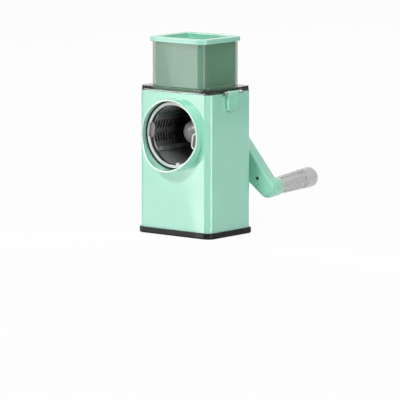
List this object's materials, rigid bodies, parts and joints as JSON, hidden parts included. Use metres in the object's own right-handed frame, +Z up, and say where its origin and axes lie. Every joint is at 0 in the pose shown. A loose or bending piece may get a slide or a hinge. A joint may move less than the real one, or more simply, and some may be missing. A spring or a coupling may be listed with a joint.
{
  "type": "drum grater",
  "caption": "Hand-cranked drum grater: square casing on a rubber foot, round outlet with a slotted drum, clipped see-through hopper with pusher, crank arm with a turning grip.",
  "frame": {"origin": "centre of the flat underside of the rubber foot", "axes": "+Z up along the casing, -Y towards the round outlet, +X to the right seen from the outlet"},
  "size_m": [0.1523, 0.2256, 0.26],
  "materials": {
    "mint_plastic": "smooth gloss",
    "black_rubber": "satin",
    "smoky_plastic": "clear smoky gloss",
    "steel": "brushed",
    "dark_steel": "blackened",
    "pale_plastic": "smooth gloss",
    "grey_plastic": "smooth gloss"
  },
  "bodies": {
    "housing": {"housing_shell": "mint_plastic", "drum_barrel": "mint_plastic", "barrel_screw_1": "steel", "barrel_screw_2": "steel", "barrel_screw_3": "steel", "rear_bush": "pale_plastic", "base_plate": "mint_plastic", "base_screw_1": "steel", "base_screw_2": "steel", "base_screw_3": "steel", "base_screw_4": "steel", "suction_foot": "black_rubber", "hopper": "smoky_plastic", "clip_pin_left": "steel", "clip_pin_right": "steel"},
    "clip_left": {"clip_left": "mint_plastic"},
    "clip_right": {"clip_right": "mint_plastic"},
    "pusher": {"pusher": "mint_plastic"},
    "drum": {"drum_blade": "steel", "drum_front_ring": "pale_plastic", "drum_rear_hub": "grey_plastic", "seam_strip": "steel", "seam_rivet_1": "steel", "seam_rivet_2": "steel", "seam_rivet_3": "steel", "seam_rivet_4": "steel", "drive_shaft": "steel", "shaft_clip": "steel", "thrust_washer": "pale_plastic", "crank_arm": "mint_plastic", "crank_cover": "mint_plastic", "cover_screw_1": "dark_steel", "cover_screw_2": "dark_steel", "crank_screw": "steel", "screw_cap": "mint_plastic", "grip_pin": "steel"},
    "grip": {"grip": "grey_plastic", "grip_cap": "grey_plastic"}
  },
  "joints": [
    {"name": "crank_turn", "type": "hinge", "parent": "housing", "child": "drum", "pos_m": [0, 0.0425, 0.1332], "axis": [0, 1, 0], "continuous": true},
    {"name": "grip_turn", "type": "hinge", "parent": "drum", "child": "grip", "pos_m": [0.07468, 0.05646, 0.05773], "axis": [-0.0552, 0.9969, 0.0558], "continuous": true},
    {"name": "pusher_slide", "type": "slide", "parent": "housing", "child": "pusher", "axis": [0, 0, 1], "range_m": [0, 0.08]},
    {"name": "clip_right_swing", "type": "hinge", "parent": "housing", "child": "clip_right", "pos_m": [0.0629, 0, 0.1896], "axis": [0, -1, 0], "range_deg": [0, 120]},
    {"name": "clip_left_swing", "type": "hinge", "parent": "housing", "child": "clip_left", "pos_m": [-0.0629, 0, 0.1896], "axis": [0, 1, 0], "range_deg": [0, 120]}
  ]
}
